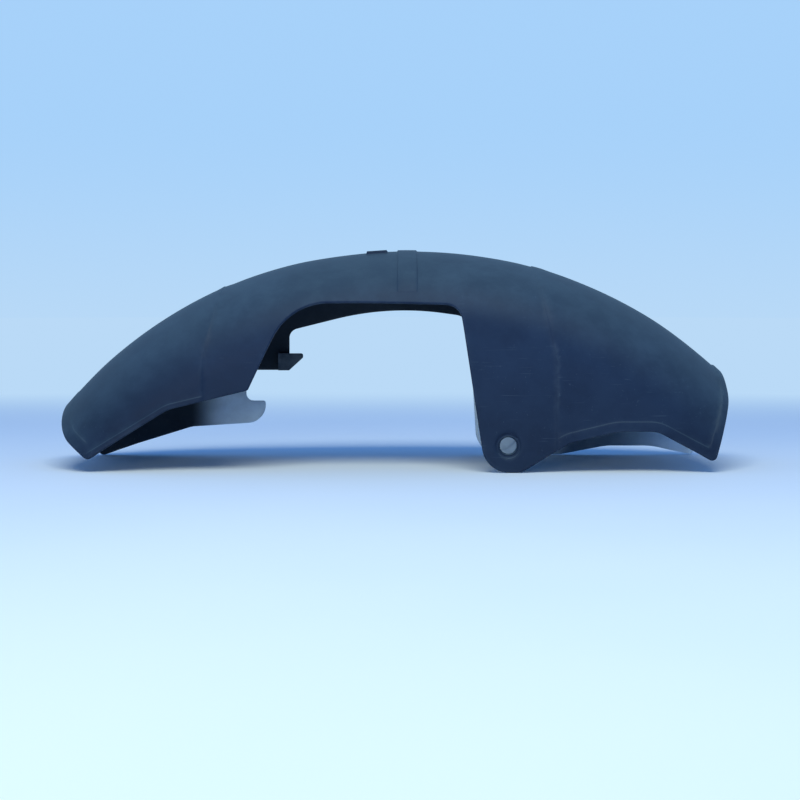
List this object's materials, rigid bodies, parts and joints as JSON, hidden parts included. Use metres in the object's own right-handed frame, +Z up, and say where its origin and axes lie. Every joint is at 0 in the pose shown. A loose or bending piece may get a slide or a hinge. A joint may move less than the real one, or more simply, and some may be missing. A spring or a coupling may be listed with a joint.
{
  "type": "motorcycle front mudguard",
  "caption": "Black moulded plastic mudguard that arches over a motorcycle's front wheel, with fork cut-outs, a fork lug with a bore on each side and a hose guide.",
  "frame": {"origin": "midway between the two ends and the two skirts, on the surface that the guard lies on", "axes": "+X from the front end to the rear end, +Y from the near skirt to the far skirt, which holds the hose guide, +Z up through the crown"},
  "size_m": [0.5146, 0.1556, 0.1689],
  "materials": {
    "moulding": "fine grained black moulding, low sheen outside, a little duller and dustier inside"
  },
  "bodies": {
    "root": {"mudguard": "moulding"}
  },
  "joints": []
}
